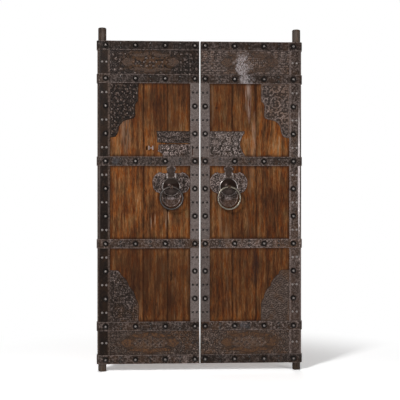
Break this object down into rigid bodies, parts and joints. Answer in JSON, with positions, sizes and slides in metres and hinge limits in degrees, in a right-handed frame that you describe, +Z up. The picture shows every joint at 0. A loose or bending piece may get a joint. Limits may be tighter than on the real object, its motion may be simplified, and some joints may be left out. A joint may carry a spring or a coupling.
{
  "type": "iron-clad temple door pair",
  "caption": "Pair of wooden temple door leaves on wooden pivots, clad in studded iron straps and pierced, embossed plates, with a winged ring pull on each leaf.",
  "frame": {"origin": "on the floor line under the pivots, midway between the two leaves", "axes": "+Z up along the pivots, +X to the right seen from the clad front, the clad front faces -Y"},
  "size_m": [1.3416, 0.1354, 2.231],
  "materials": {
    "boards": "weathered oiled boards, dry and streaked",
    "posts": "dark weathered hardwood",
    "straps": "hammered wrought iron, rust-browned",
    "sheets": "worn wrought-iron sheet",
    "plates": "embossed iron plate, rust-browned",
    "nails": "dark forged heads, rubbed bright",
    "bosses": "dark beaten iron",
    "rings": "handled iron, rubbed bright"
  },
  "bodies": {
    "left_leaf": {"left_stile": "posts", "left_board_1": "boards", "left_board_2": "boards", "left_board_3": "boards", "left_battens": "posts", "left_strap_1": "straps", "left_strap_2": "straps", "left_strap_3": "straps", "left_strap_4": "straps", "left_strap_5": "straps", "left_strap_6": "straps", "left_stile_sheet": "sheets", "left_meeting_strap": "sheets", "left_top_panel": "plates", "left_bottom_panel": "plates", "left_upper_corner": "plates", "left_lower_corner": "plates", "left_lock_upper": "plates", "left_lock_lower": "plates", "left_staple": "straps", "left_pull_plate": "plates", "left_boss": "bosses", "left_eye": "rings", "left_washer": "straps", "left_dome_nails": "nails", "left_small_nails": "nails", "left_studs": "plates"},
    "right_leaf": {"right_stile": "posts", "right_board_1": "boards", "right_board_2": "boards", "right_board_3": "boards", "right_battens": "posts", "right_strap_1": "straps", "right_strap_2": "straps", "right_strap_3": "straps", "right_strap_4": "straps", "right_strap_5": "straps", "right_strap_6": "straps", "right_stile_sheet": "sheets", "right_meeting_strap": "sheets", "right_top_panel": "plates", "right_bottom_panel": "plates", "right_upper_corner": "plates", "right_lower_corner": "plates", "right_lock_plate": "plates", "right_lock_flap": "straps", "right_pull_plate": "plates", "right_boss": "bosses", "right_eye": "rings", "right_washer": "straps", "right_dome_nails": "nails", "right_small_nails": "nails", "right_studs": "plates"},
    "left_pull_ring": {"left_ring": "rings"},
    "right_pull_ring": {"right_ring": "rings"}
  },
  "joints": [
    {"name": "right_leaf_swing", "type": "hinge", "parent": "left_leaf", "child": "right_leaf", "pos_m": [0.635, 0.0285, 0], "axis": [0, 0, -1], "range_deg": [0, 100]},
    {"name": "left_ring_swing", "type": "hinge", "parent": "left_leaf", "child": "left_pull_ring", "pos_m": [-0.1865, -0.04838, 1.19783], "axis": [-1, 0, 0], "range_deg": [-10, 160]},
    {"name": "right_ring_swing", "type": "hinge", "parent": "right_leaf", "child": "right_pull_ring", "pos_m": [0.1865, -0.04838, 1.19783], "axis": [-1, 0, 0], "range_deg": [-10, 160]}
  ]
}
